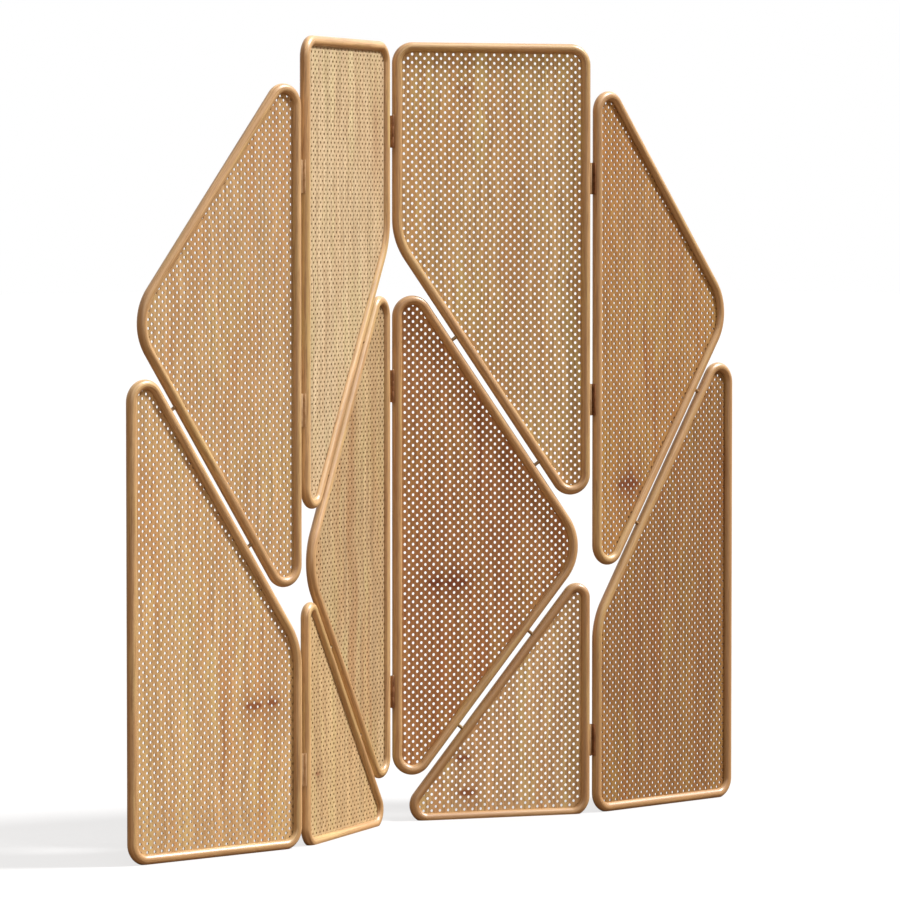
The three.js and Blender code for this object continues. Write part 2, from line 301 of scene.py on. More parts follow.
def finish_piece(name, me, leaf, material, node, local=True):
    """The mesh in its leaf's place, riding on the leaf and standing for its CAD node."""
    if local:
        me.transform(LEAVES[leaf]["matrix"])
    me.name = name
    me.materials.clear()
    me.materials.append(material)
    ob = link(name, me)
    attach(ob, f"leaf_{leaf}")
    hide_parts(node)
    return ob


# ---------------------------------------------------------------- node helpers
class Tree:
    """Short ways to write a material's nodes. A value is a number, a colour or another node's output."""

    def __init__(self, name):
        self.material = bpy.data.materials.new(name)
        self.material.use_nodes = True
        self.tree = self.material.node_tree
        self.tree.nodes.clear()

    def node(self, kind, inputs=None, **settings):
        n = self.tree.nodes.new(kind)
        for k, v in settings.items():
            setattr(n, k, v)
        for k, v in (inputs or {}).items():
            self.put(n.inputs[k], v)
        return n

    def put(self, socket, value):
        if isinstance(value, bpy.types.NodeSocket):
            self.tree.links.new(value, socket)
        elif value is not None:
            socket.default_value = value

    def math(self, op, a, b=None, c=None, clamp=False):
        n = self.node("ShaderNodeMath", operation=op, use_clamp=clamp)
        for s, v in zip(n.inputs, (a, b, c)):
            self.put(s, v)
        return n.outputs[0]

    def vector(self, op, a, b=None):
        n = self.node("ShaderNodeVectorMath", operation=op)
        self.put(n.inputs[0], a)
        self.put(n.inputs[1], b)
        return n.outputs["Value" if op in ("LENGTH", "DISTANCE", "DOT_PRODUCT") else 0]

    def attribute(self, name):
        return self.node("ShaderNodeAttribute", attribute_name=name).outputs["Vector"]

    def split(self, v):
        n = self.node("ShaderNodeSeparateXYZ", {0: v})
        return n.outputs[0], n.outputs[1], n.outputs[2]

    def join(self, x, y, z):
        return self.node("ShaderNodeCombineXYZ", {0: x, 1: y, 2: z}).outputs[0]

    def noise(self, vector, w=None, detail=2.0, roughness=0.5, distortion=0.0):
        n = self.node("ShaderNodeTexNoise", noise_dimensions="3D" if w is None else "4D")
        self.put(n.inputs["Vector"], vector)
        if w is not None:
            self.put(n.inputs["W"], w)
        n.inputs["Scale"].default_value = 1.0
        n.inputs["Detail"].default_value = detail
        n.inputs["Roughness"].default_value = roughness
        n.inputs["Distortion"].default_value = distortion
        return n.outputs["Fac"]

    def range(self, v, a, b, c=0.0, d=1.0, smooth=True):
        n = self.node("ShaderNodeMapRange", interpolation_type="SMOOTHSTEP" if smooth else "LINEAR")
        for k, x in zip(("Value", "From Min", "From Max", "To Min", "To Max"), (v, a, b, c, d)):
            self.put(n.inputs[k], x)
        return n.outputs["Result"]

    def ramp(self, v, stops):
        n = self.node("ShaderNodeValToRGB", {0: v})
        e = n.color_ramp.elements
        while len(e) < len(stops):
            e.new(0.5)
        for x, (p, c) in zip(e, stops):
            x.position, x.color = p, (*c, 1)
        return n.outputs[0]

    def mix(self, fac, a, b, kind="MIX"):
        n = self.node("ShaderNodeMix", data_type="RGBA", blend_type=kind)
        self.put(n.inputs[0], fac)
        for s, v in ((n.inputs[6], a), (n.inputs[7], b)):
            self.put(s, (*v, 1) if isinstance(v, tuple) else v)
        return n.outputs[2]

    def finish(self, shader):
        out = self.node("ShaderNodeOutputMaterial")
        self.tree.links.new(shader.outputs[0], out.inputs["Surface"])
        return self.material


def srgb(r, g, b):
    f = lambda v: v / 12.92 if v <= 0.04045 else ((v + 0.055) / 1.055) ** 2.4
    return tuple(f(v / 255) for v in (r, g, b))


def scaled(c, k):
    return tuple(min(1.0, v * k) for v in c)


# ---------------------------------------------------------------- oak
def oak(name, tone, knots=(), streaks=(), rod=False, red=0.55, pore_depth=1.0, line_depth=1.0, roughness=0.5, gloss=0.5, coat=0.0):
    """Oak with growth bands, fibres, open pores, reddish heartwood patches and knots.

    A flat piece reads its grain from the attribute grain_a (across, depth, up). A bent rod reads the
    place round its loop from grain_a and its place in the section from grain_b, so that the grain
    follows the bends with no seam."""
    t = Tree(name)
    ga = t.attribute("grain_a")
    ax, ay, az = t.split(ga)
    if rod:
        bx, by, _ = t.split(t.attribute("grain_b"))
        shade = None

        def sample(across, up, **more):
            v = t.join(t.math("MULTIPLY", ax, up), t.math("MULTIPLY", ay, up), t.math("MULTIPLY", bx, across))
            return t.noise(v, t.math("MULTIPLY", by, across), **more)
    else:
        shade = None
        for kx, kz, size, *weight in knots:
            dx = t.math("MULTIPLY", t.math("SUBTRACT", ax, kx), 1 / (size * 2.6))
            dz = t.math("MULTIPLY", t.math("SUBTRACT", az, kz), 1 / (size * 3.4))
            d2 = t.math("ADD", t.math("MULTIPLY", dx, dx), t.math("MULTIPLY", dz, dz))
            bell = t.math("POWER", 2.718, t.math("MULTIPLY", d2, -1.0))
            # the grain parts round the knot
            push = t.math("MULTIPLY", t.math("MULTIPLY", t.math("SUBTRACT", ax, kx), bell), -0.62)
            ax = t.math("ADD", ax, push)
            cx = t.math("MULTIPLY", t.math("SUBTRACT", ax, kx), 1 / (size * 1.1))
            cz = t.math("MULTIPLY", t.math("SUBTRACT", az, kz), 1 / (size * 0.5))
            core = t.math("POWER", 2.718, t.math("MULTIPLY", t.math("ADD", t.math("MULTIPLY", cx, cx), t.math("MULTIPLY", cz, cz)), -1.0))
            weight = weight[0] if weight else 1.0
            total = t.math("ADD", t.math("MULTIPLY", core, 1.3 * weight), t.math("MULTIPLY", bell, 0.50 * weight))
            shade = total if shade is None else t.math("ADD", shade, total)
        # a slow sway of the grain
        sway = t.noise(t.join(t.math("MULTIPLY", ax, 3.0), 0.0, t.math("MULTIPLY", az, 2.2)), detail=1.0)
        ripple = t.noise(t.join(t.math("MULTIPLY", ax, 9.0), 0.0, t.math("MULTIPLY", az, 11.0)), detail=1.0)
        ax = t.math("ADD", ax, t.math("MULTIPLY", t.math("SUBTRACT", sway, 0.5), 0.05))
        ax = t.math("ADD", ax, t.math("MULTIPLY", t.math("SUBTRACT", ripple, 0.5), 0.022))

        def sample(across, up, **more):
            return t.noise(t.join(t.math("MULTIPLY", ax, across), t.math("MULTIPLY", ay, across), t.math("MULTIPLY", az, up)), **more)

    bands = sample(70, 1.5 if not rod else 3.0, detail=3.0, roughness=0.55, distortion=0.5)
    fibres = sample(520, 9.0, detail=2.0, roughness=0.6)
    pores = sample(760, 42.0, detail=1.0, roughness=0.5)
    cloud = sample(16, 1.6, detail=3.0, roughness=0.6)
    sap = sample(27, 3.1, detail=2.0, roughness=0.6)
    figure = sample(36, 3.6, detail=2.0, roughness=0.6, distortion=0.8)
    body = t.math("ADD", t.math("MULTIPLY", bands, 0.60), t.math("MULTIPLY", fibres, 0.40))
    base = t.ramp(t.range(body, 0.34, 0.66, smooth=False), [
        (0.0, scaled(tone, 0.70)), (0.34, scaled(tone, 0.90)), (0.62, scaled(tone, 1.06)), (1.0, scaled(tone, 1.20)),
    ])
    reddish = (tone[0] * 0.88, tone[1] * 0.66, tone[2] * 0.50)
    base = t.mix(t.math("MULTIPLY", t.range(cloud, 0.44, 0.66), red), base, reddish)
    base = t.mix(t.math("MULTIPLY", t.range(sap, 0.48, 0.66), 0.8 * line_depth), base, (tone[0] * 1.02, tone[1] * 1.15, tone[2] * 1.00))
    for sx, half, sz, length, strength in streaks:
        dx = t.math("MULTIPLY", t.math("SUBTRACT", t.math("ADD", ax, t.math("MULTIPLY", t.math("SUBTRACT", bands, 0.5), half)), sx), 1 / half)
        dz = t.math("MULTIPLY", t.math("SUBTRACT", az, sz), 1 / length)
        d2 = t.math("ADD", t.math("MULTIPLY", dx, dx), t.math("MULTIPLY", dz, dz))
        bell = t.math("POWER", 2.718, t.math("MULTIPLY", d2, -1.0))
        bell = t.math("MULTIPLY", bell, t.range(cloud, 0.25, 0.60, 0.45, 1.0))
        base = t.mix(t.math("MULTIPLY", bell, strength), base, (tone[0] * 0.62, tone[1] * 0.38, tone[2] * 0.26))
    pore = t.range(pores, 0.59, 0.69)
    base = t.mix(t.math("MULTIPLY", pore, 0.50 * pore_depth), base, (tone[0] * 0.44, tone[1] * 0.30, tone[2] * 0.20))
    base = t.mix(t.range(figure, 0.36, 0.64, 0.30, 0.0), base, (tone[0] * 0.62, tone[1] * 0.54, tone[2] * 0.48))
    dark = (tone[0] * 0.52, tone[1] * 0.42, tone[2] * 0.34)
    lines = t.range(sample(190, 3.2, detail=2.0, roughness=0.6), 0.53, 0.68)
    base = t.mix(t.math("MULTIPLY", lines, 0.36 * line_depth), base, dark)
    flecks = t.range(sample(280, 11.0, detail=2.0, roughness=0.6), 0.52, 0.63)
    base = t.mix(t.math("MULTIPLY", flecks, 0.62 * line_depth), base, dark)
    if shade is not None:
        base = t.mix(t.math("MINIMUM", t.math("MULTIPLY", shade, 0.85), 0.88), base, (tone[0] * 0.36, tone[1] * 0.15, tone[2] * 0.08))
    if rod:
        stripes = t.range(sample(150, 1.4, detail=2.0, roughness=0.6), 0.49, 0.60)
        base = t.mix(t.math("MULTIPLY", stripes, 0.42), base, (tone[0] * 0.60, tone[1] * 0.46, tone[2] * 0.34))
        # painted shade in part: each frame's darkening, which on the lower frames stands in for weaker light near the
        # floor
        _, _, darkening_and_shade = t.split(t.attribute("grain_b"))
        base = t.mix(darkening_and_shade, base, (tone[0] * 0.50, tone[1] * 0.38, tone[2] * 0.28))
    rough = t.math("ADD", t.math("MULTIPLY", t.math("SUBTRACT", fibres, 0.5), 0.18), roughness)
    rough = t.math("ADD", rough, t.math("MULTIPLY", pore, 0.12))
    height = t.math("SUBTRACT", t.math("MULTIPLY", fibres, 0.35), t.math("MULTIPLY", pore, 1.0))
    bump = t.node("ShaderNodeBump", {"Strength": 0.30, "Distance": 0.00025, "Height": height})
    shader = t.node("ShaderNodeBsdfPrincipled", {"Base Color": base, "Roughness": rough, "Normal": bump.outputs[0]})
    shader.inputs["IOR"].default_value = 1.5
    shader.inputs["Specular IOR Level"].default_value = gloss
    shader.inputs["Coat Weight"].default_value = coat
    shader.inputs["Coat Roughness"].default_value = 0.28
    return t.finish(shader)


def metal(name, light, dim, roughness, metallic):
    """Aged brass: brushed up and down, darker where its patina is thick."""
    t = Tree(name)
    x, y, z = t.split(t.node("ShaderNodeTexCoord").outputs["Object"])
    brush = t.noise(t.join(t.math("MULTIPLY", x, 2600), t.math("MULTIPLY", y, 2600), t.math("MULTIPLY", z, 90)), detail=2.0)
    patina = t.noise(t.join(t.math("MULTIPLY", x, 90), t.math("MULTIPLY", y, 90), t.math("MULTIPLY", z, 60)), detail=4.0, roughness=0.6)
    colour = t.mix(t.range(patina, 0.38, 0.66), light, dim)
    colour = t.mix(t.math("MULTIPLY", t.range(brush, 0.35, 0.7), 0.25), colour, scaled(dim, 0.7))
    gloss = t.math("ADD", t.math("MULTIPLY", patina, 0.25), t.math("ADD", t.math("MULTIPLY", brush, 0.12), roughness - 0.18))
    bump = t.node("ShaderNodeBump", {"Strength": 0.15, "Distance": 0.00005, "Height": brush})
    shader = t.node("ShaderNodeBsdfPrincipled", {"Base Color": colour, "Roughness": gloss, "Normal": bump.outputs[0]})
    shader.inputs["Metallic"].default_value = metallic
    return t.finish(shader)


# tone; knots: across, height, size; streaks of heartwood: across, half width, height, half length,
# strength. Metres.
SHEETS = {
    "a_upper": dict(tone=(0.525, 0.342, 0.163), streaks=[(0.14, 0.035, 0.95, 0.30, 0.50), (0.31, 0.020, 1.12, 0.20, 0.25)], line_depth=0.7),
    "a_lower": dict(
        tone=(0.553, 0.359, 0.168),
        knots=[(0.125, 0.324, 0.011, 1.2), (0.073, 0.328, 0.009)],
        streaks=[(0.21, 0.006, 0.25, 0.13, 0.95), (0.07, 0.035, 0.40, 0.16, 0.40)],
        line_depth=0.7,
    ),
    "b_upper": dict(tone=(0.545, 0.425, 0.264), streaks=[(0.06, 0.030, 1.58, 0.14, 0.35)], red=0.2, line_depth=0.6),
    "b_middle": dict(tone=(0.464, 0.337, 0.185), streaks=[(0.20, 0.035, 0.75, 0.35, 0.45), (0.08, 0.025, 0.85, 0.30, 0.40)], line_depth=0.6),
    "b_lower": dict(tone=(0.525, 0.372, 0.195), knots=[(0.401, 0.155, 0.009, 0.45)], red=0.25, line_depth=0.6),
    "c_upper": dict(
        tone=(0.648, 0.447, 0.208),
        knots=[(0.163, 1.696, 0.009, 0.45)],
        streaks=[(0.10, 0.030, 1.25, 0.30, 0.30), (0.31, 0.045, 1.35, 0.35, 0.50), (0.25, 0.080, 1.05, 0.20, 0.45)],
    ),
    "c_middle": dict(
        tone=(0.460, 0.228, 0.086),
        knots=[(0.145, 0.550, 0.012, 1.6), (0.098, 0.552, 0.010, 1.3)],
        streaks=[(0.205, 0.006, 0.85, 0.16, 1.0), (0.262, 0.022, 0.72, 0.20, 0.60), (0.09, 0.045, 0.55, 0.32, 0.35)],
    ),
    "c_lower": dict(
        tone=(0.663, 0.442, 0.223),
        knots=[(0.163, 0.142, 0.009), (0.172, 0.060, 0.011)],
        streaks=[(0.22, 0.030, 0.28, 0.15, 0.30)],
    ),
    "d_upper": dict(
        tone=(0.404, 0.219, 0.070),
        knots=[(0.118, 0.770, 0.012, 1.4), (0.092, 0.768, 0.008, 1.2)],
        streaks=[(0.11, 0.060, 0.82, 0.22, 0.55), (0.175, 0.006, 1.05, 0.12, 0.9), (0.205, 0.005, 0.96, 0.10, 0.8), (0.27, 0.030, 1.05, 0.25, 0.30)],
    ),
    "d_lower": dict(tone=(0.297, 0.150, 0.046), streaks=[(0.16, 0.050, 0.45, 0.25, 0.35), (0.37, 0.045, 0.40, 0.30, 0.35)]),
}
ROD_TONE = (0.585, 0.378, 0.178)

random.seed(20240)
sheet_materials = {k: oak(f"oak_sheet_{k}", roughness=0.58, gloss=0.4, **v) for k, v in SHEETS.items()}
rod_material = oak("oak_rod", ROD_TONE, rod=True, red=0.30, pore_depth=0.8, line_depth=1.0, roughness=0.46, gloss=0.7, coat=0.35)
# painted shade: the dowel's oak is darkened to 0.55 of the rod tone for the shade in the gaps between frames
dowel_shaded_oak = oak("oak_dowel", scaled(ROD_TONE, 0.55), red=0.3, pore_depth=0.8, roughness=0.45)
# painted light and shade: the same brass as a lighter lit copy and a darker shaded copy, chosen per fold and leaf
brass_painted_lit = metal("hinge_brass_painted_lit", (0.62, 0.43, 0.25), (0.44, 0.28, 0.145), 0.48, 0.5)
brass_painted_shade = metal("hinge_brass_painted_shade", (0.34, 0.165, 0.075), (0.21, 0.095, 0.04), 0.48, 0.6)
plate_materials = {"ab": (brass_painted_lit, brass_painted_lit), "bc": (brass_painted_shade, brass_painted_shade), "cd": (brass_painted_lit, brass_painted_shade)}
pin_material = metal("hinge_pin_brass", (0.42, 0.27, 0.14), (0.26, 0.15, 0.07), 0.40, 0.8)


# how far each frame's oak is darkened: partly its own tone, partly painted shade, as the lower frames (c_lower most)
# are darkened to stand in for light that weakens towards the floor
ROD_DARKENING_AND_SHADE = {
    "a_upper": 0.12, "a_lower": 0.05, "b_upper": 0.0, "b_middle": 0.10, "b_lower": 0.10,
    "c_upper": 0.22, "c_middle": 0.25, "c_lower": 0.52, "d_upper": 0.28, "d_lower": 0.42,
}


# ---------------------------------------------------------------- bent rod frames
def rod_section(sides=40):
    """The rod's section with the sheet's groove, as (outwards, depth) in mm."""
    g, ease = GROOVE_T / 2, 0.35
    mouth = math.sqrt(ROD_R**2 - g**2)
    w = math.asin((g + ease) / ROD_R)
    ring = [(ROD_R * math.cos(a), ROD_R * math.sin(a)) for a in np.linspace(math.pi + w, 3 * math.pi - w, sides)]
    return [(-GROOVE_IN, g), (-GROOVE_IN, -g), (-mouth + ease, -g)] + ring + [(-mouth + ease, g)]


def frame_mesh(leaf, panel):
    info = LEAVES[leaf]
    flip, corners = info["flip"], info["panels"][panel]
    pts, nor, _, _ = centre_line(corners, 4.0, 30.0)
    section = rod_section()
    n, m = len(pts), len(section)
    verts = []
    for p, q in zip(pts, nor):
        verts += [((p[0] + q[0] * o) * flip * MM, d * MM, (p[1] + q[1] * o) * MM) for o, d in section]
    faces = [(i * m + k, i * m + (k + 1) % m, (i + 1) % n * m + (k + 1) % m, (i + 1) % n * m + k) for i in range(n) for k in range(m)]
    me = from_faces("rod", verts, faces)
    outward(me)
    steps = []
    for frames, at, z0, rise in info["dowels"]:
        if panel in frames:
            half = DOWEL_HOLE_LEN / 2 * MM
            hole = lathe([(0, -half), (DOWEL_HOLE_R * MM, -half), (DOWEL_HOLE_R * MM, half), (0, half)], 32)
            axis = Vector((rise * flip, 0, -1)).normalized()
            centre = Vector((at * flip * MM, 0, (z0 + rise * at) * MM))
            steps.append(("DIFFERENCE", moved(hole, along(centre, centre + axis))))
    for _, end, side, heights, _ in info["hinges"]:
        ups = [c[1] for c in corners if abs(c[0] - end) < 8]
        pin_x = -PIN_OUT * flip if end == 0 else (LEAF_W + PIN_OUT) * flip
        sx = flip if end == 0 else -flip
        xs = sorted((pin_x, pin_x + sx * (PLATE_GAP + PLATE_T + 0.3)))
        for z in heights:
            if len(ups) > 1 and min(ups) < z < max(ups):
                ys = sorted((side * (PIN_OFF - PLATE_W - 0.3), side * (ROD_R + 1)))
                b = (xs[0], xs[1], ys[0], ys[1], z - HINGE_H / 2 - 0.3, z + HINGE_H / 2 + 0.3)
                steps.append(("DIFFERENCE", box_mesh(*(v * MM for v in b))))
    if min(c[1] for c in corners) < ROD_R:
        steps.append(("DIFFERENCE", box_mesh(-0.7, 0.7, -0.05, 0.05, -0.05, 0)))
    if steps:
        me = boolean(me, steps)
    smooth(me)
    # the place along the loop and in the section, for the grain
    co = coordinates(me)
    flat = np.stack([co[:, 0] * flip, co[:, 2]], 1) / MM
    fine, fn, s, length = centre_line(corners, 2.0, 6.0)
    nearest = np.empty(len(flat), int)
    for i in range(0, len(flat), 2000):
        nearest[i : i + 2000] = ((flat[i : i + 2000, None] - fine[None]) ** 2).sum(-1).argmin(1)
    offset = flat - fine[nearest]
    out = (offset * fn[nearest]).sum(1)
    tangent = np.stack([-fn[nearest][:, 1], fn[nearest][:, 0]], 1)
    place = s[nearest] + (offset * tangent).sum(1)
    phi = 2 * math.pi * place / length
    radius = length / 2 / math.pi * MM
    seed = random.uniform(0, 40)
    # grain_b's third value carries the frame's darkening, partly its own tone and partly painted shade
    darkening_and_shade = ROD_DARKENING_AND_SHADE[f"{leaf}_{panel}"] + 0 * phi
    vector_attribute(me, "grain_a", np.stack([radius * np.cos(phi), radius * np.sin(phi), 0 * phi], 1))
    vector_attribute(me, "grain_b", np.stack([out * MM + seed, co[:, 1] + seed * 0.7, darkening_and_shade], 1))
    return me


# ---------------------------------------------------------------- perforated sheets
def sheet_mesh(leaf, panel):
    """A thin board drilled all over on a staggered grid. Each hole sits in its own diamond of the board; the diamonds that meet the board's edge are cut and triangulated."""
    info = LEAVES[leaf]
    flip, corners = info["flip"], info["panels"][panel]
    pts, nor, _, _ = centre_line(corners, 6.0)
    rim = pts - nor * SHEET_IN
    edge = np.roll(rim, -1, 0) - rim
    inward = np.stack([-edge[:, 1], edge[:, 0]], 1) / np.linalg.norm(edge, axis=1)[:, None]

    def depth(p):
        """How far inside the rim the points are."""
        return ((p[:, None] - rim[None]) * inward[None]).sum(-1).min(1)

    ax, az = GRID_AT[f"{leaf}_{panel}"]
    lo, hi = rim.min(0), rim.max(0)
    i0, i1 = int((lo[0] - ax) / PITCH_X) - 2, int((hi[0] - ax) / PITCH_X) + 2
    j0, j1 = int((lo[1] - az) / PITCH_Z) - 2, int((hi[1] - az) / PITCH_Z) + 2
    cells = np.array([(i, j) for i in range(i0, i1 + 1) for j in range(j0, j1 + 1) if (i + j) % 2 == 0])
    centres = np.array([ax, az]) + cells * (PITCH_X, PITCH_Z)
    corner_depth = np.min([depth(centres + d) for d in ((PITCH_X, 0), (-PITCH_X, 0), (0, PITCH_Z), (0, -PITCH_Z))], 0)
    whole = corner_depth > 1.0
    cut = ~whole & (depth(centres) > -HOLE_R)
    at, faces = [], []
    corner_ids = {}

    def corner(i, j):
        if (i, j) not in corner_ids:
            corner_ids[i, j] = len(at)
            at.append((ax + i * PITCH_X, az + j * PITCH_Z))
        return corner_ids[i, j]

    angles = 2 * math.pi * np.arange(HOLE_SIDES) / HOLE_SIDES
    ring = HOLE_R * np.stack([np.cos(angles), np.sin(angles)], 1)
    q = HOLE_SIDES // 4
    solid = set()
    for (i, j), c in zip(cells[whole].tolist(), centres[whole]):
        solid.add((i, j))
        tips = [corner(i + 1, j), corner(i, j + 1), corner(i - 1, j), corner(i, j - 1)]
        first = len(at)
        at += (c + ring).tolist()
        for k in range(4):
            arc = [first + (k * q + s) % HOLE_SIDES for s in range(q + 1)]
            faces.append([tips[k], tips[(k + 1) % 4]] + arc[::-1])
    # the ragged border between the whole diamonds and the rim
    given, ids, edges = [], [], []

    def add(p, vertex=None):
        given.append(Vector(p))
        ids.append(vertex)
        return len(given) - 1

    for loop in [rim] + [c + ring for c in centres[cut]]:
        first, n = len(given), len(loop)
        for p in loop:
            add(p)
        edges += [(first + k, first + (k + 1) % n) for k in range(n)]
    tip_index = {}
    for i, j in solid:
        for (a, b), other in (
            (((i + 1, j), (i, j + 1)), (i + 1, j + 1)),
            (((i, j + 1), (i - 1, j)), (i - 1, j + 1)),
            (((i - 1, j), (i, j - 1)), (i - 1, j - 1)),
            (((i, j - 1), (i + 1, j)), (i + 1, j - 1)),
        ):
            if other not in solid:
                for k in (a, b):
                    if k not in tip_index:
                        v = corner_ids[k]
                        tip_index[k] = add(at[v], v)
                edges.append((tip_index[a], tip_index[b]))
    places, _, triangles, origin, _, _ = delaunay_2d_cdt(given, edges, [], 0, 1e-5)
    index = []
    for p, o in zip(places, origin):
        known = [ids[k] for k in o if ids[k] is not None]
        if known:
            index.append(known[0])
        else:
            index.append(len(at))
            at.append((p.x, p.y))
    places = np.array([(p.x, p.y) for p in places])
    for t in triangles:
        c = places[list(t)].mean(0)
        u, v = (c[0] - ax) / PITCH_X, (c[1] - az) / PITCH_Z
        r1, r2 = round((u + v) / 2), round((u - v) / 2)
        i, j = r1 + r2, r1 - r2
        if (i, j) in solid or depth(c[None])[0] < 1e-4:
            continue
        near = min(
            math.hypot(c[0] - ax - (i + a) * PITCH_X, c[1] - az - (j + b) * PITCH_Z)
            for a, b in ((0, 0), (1, 1), (1, -1), (-1, 1), (-1, -1))
        )
        if near < HOLE_R * 0.94:
            continue
        p = places[list(t)]
        turn = (p[1][0] - p[0][0]) * (p[2][1] - p[0][1]) - (p[1][1] - p[0][1]) * (p[2][0] - p[0][0])
        if abs(turn) < 1e-6:
            continue
        f = [index[k] for k in t]
        faces.append(f if turn > 0 else f[::-1])
    at = np.array(at)
    used = np.zeros(len(at), bool)
    for f in faces:
        used[f] = True
    renumber = np.cumsum(used) - 1
    at = at[used]
    faces = [[int(renumber[v]) for v in f] for f in faces]
    n = len(at)
    seen = {(a, b) for f in faces for a, b in zip(f, f[1:] + f[:1])}
    walls = [(b, a, a + n, b + n) for a, b in seen if (b, a) not in seen]
    walls.sort()
    half = SHEET_T / 2 * MM
    verts = np.zeros((2 * n, 3))
    verts[:n, 0] = verts[n:, 0] = at[:, 0] * MM * flip
    verts[:n, 2] = verts[n:, 2] = at[:, 1] * MM
    verts[:n, 1], verts[n:, 1] = -half, half
    every = faces + [[v + n for v in f[::-1]] for f in faces] + [list(w) for w in walls]
    if flip < 0:
        every = [f[::-1] for f in every]
    me = bpy.data.meshes.new("sheet")
    me.from_pydata(verts.tolist(), [], every)
    flat = 2 * len(faces)
    me.polygons.foreach_set("use_smooth", [k >= flat for k in range(len(every))])
    # two drawings side by side, front and back, with each hole's wall laid inside its own hole
    span = hi - lo + 12
    low = lo - 6
    left = (at - low) / span * (0.5, 1)
    uv = np.empty((len(me.loops), 2), np.float32)
    nearest = np.stack([(at[:, 0] - ax) / PITCH_X, (at[:, 1] - az) / PITCH_Z], 1)
    r1, r2 = np.round((nearest[:, 0] + nearest[:, 1]) / 2), np.round((nearest[:, 0] - nearest[:, 1]) / 2)
    hub = np.stack([ax + (r1 + r2) * PITCH_X, az + (r1 - r2) * PITCH_Z], 1)
    on_hole = np.abs(np.hypot(*(at - hub).T) - HOLE_R) < 0.05
    inner = np.where(on_hole[:, None], hub + (at - hub) * 0.35, at + (at - (lo + hi) / 2) / np.linalg.norm(at - (lo + hi) / 2, axis=1)[:, None] * 5)
    inner = (inner - low) / span * (0.5, 1)
    k = 0
    for p, f in enumerate(every):
        for v in f:
            if p < flat:
                uv[k] = left[v] if v < n else left[v - n] + (0.5, 0)
            else:
                uv[k] = left[v] if v < n else inner[v - n]
            k += 1
    layer = me.uv_layers.new(name="OFBake")
    layer.uv.foreach_set("vector", uv.ravel())
    co = verts + 0
    vector_attribute(me, "grain_a", np.stack([co[:, 0] * flip, co[:, 1], co[:, 2]], 1))
    me.update()
    return me


# ---------------------------------------------------------------- dowels
def dowel_mesh(at, z0, rise, flip):
    half, r = DOWEL_LEN / 2 * MM, DOWEL_R * MM
    e = 0.8 * MM
    me = lathe([(0, -half), (r - e, -half), (r, -half + e), (r, -half * 0.4), (r, half * 0.4), (r, half - e), (r - e, half), (0, half)], 32)
    smooth(me, 35)
    co = coordinates(me)
    vector_attribute(me, "grain_a", co + (random.uniform(0, 9), 0, random.uniform(0, 9)))
    axis = Vector((rise * flip, 0, -1)).normalized()
    centre = Vector((at * flip * MM, 0, (z0 + rise * at) * MM))
    me.transform(along(centre, centre + axis))
    return me


# ---------------------------------------------------------------- hinges
def plate_shape(ends):
    """A hinge plate with its knuckles, drilled for the pin and countersunk for three screws. Pin at the origin, plate towards +X, leaf's middle plane towards +Y, mm."""
    h = HINGE_H / 2
    x0, x1 = PLATE_GAP, PLATE_GAP + PLATE_T
    body = box_mesh(x0, x1, 0, PLATE_W, -h, h)
    mine = [(-h, -KNUCKLE_END), (KNUCKLE_END, h)] if ends else [(-KNUCKLE_MID, KNUCKLE_MID)]
    other = [(-KNUCKLE_END, KNUCKLE_END)] if ends else [(-h - 1, -KNUCKLE_MID), (KNUCKLE_MID, h + 1)]
    round_bar = lambda r, a, b, sides=48: lathe([(0, a), (r, a), (r, b), (0, b)], sides)
    steps = [("DIFFERENCE", round_bar(KNUCKLE_R + 0.4, a, b)) for a, b in other]
    steps += [("UNION", round_bar(KNUCKLE_R, a, b)) for a, b in mine]
    steps += [("DIFFERENCE", round_bar(BORE_R, -h - 2, h + 2, 32))]
    turn = Matrix.Rotation(math.pi / 2, 4, "Y")
    places = [(11.8, z) for z in (-23, 0, 23)]
    for y, z in places:
        sink = lathe([(0, -1), (3.9, -1), (3.5, 0), (1.9, 1.6), (1.9, 2.6), (0, 2.6)], 32)
        steps.append(("DIFFERENCE", moved(sink, Matrix.Translation((x0, y, z)) @ turn)))
    me = boolean(body, steps)
    # slivers go first, or the edges can't be eased
    bm = bmesh.new()
    bm.from_mesh(me)
    bmesh.ops.remove_doubles(bm, verts=bm.verts[:], dist=0.02)
    bmesh.ops.dissolve_limit(bm, angle_limit=math.radians(0.5), verts=bm.verts[:], edges=bm.edges[:])
    bmesh.ops.dissolve_degenerate(bm, dist=0.02, edges=bm.edges[:])
    bm.to_mesh(me)
    bm.free()
    ob = link("plate", me)
    bev = ob.modifiers.new("bevel", "BEVEL")
    bev.width, bev.segments, bev.limit_method, bev.angle_limit = 0.2, 2, "ANGLE", math.radians(40)
    bev.use_clamp_overlap = False
    bpy.context.view_layer.update()
    me = bpy.data.meshes.new_from_object(ob.evaluated_get(bpy.context.evaluated_depsgraph_get()))
    bpy.data.objects.remove(ob)
    head = lathe([(0, 0.25), (2.6, 0.25), (3.15, 0.4), (1.7, 1.7), (1.7, 2.4), (0, 2.4)], 32)
    screws = []
    for n, (y, z) in enumerate(places):
        slot = moved(box_mesh(-4, 4, -0.4, 0.4, -1, 0.85), Matrix.Rotation(0.5 + 0.9 * n, 4, "Z"))
        screws.append((boolean(head.copy(), [("DIFFERENCE", slot)]), Matrix.Translation((x0, y, z)) @ turn))
    me = join_meshes("plate", [(me, Matrix.Identity(4))] + screws)
    smooth(me, 30)
    return me


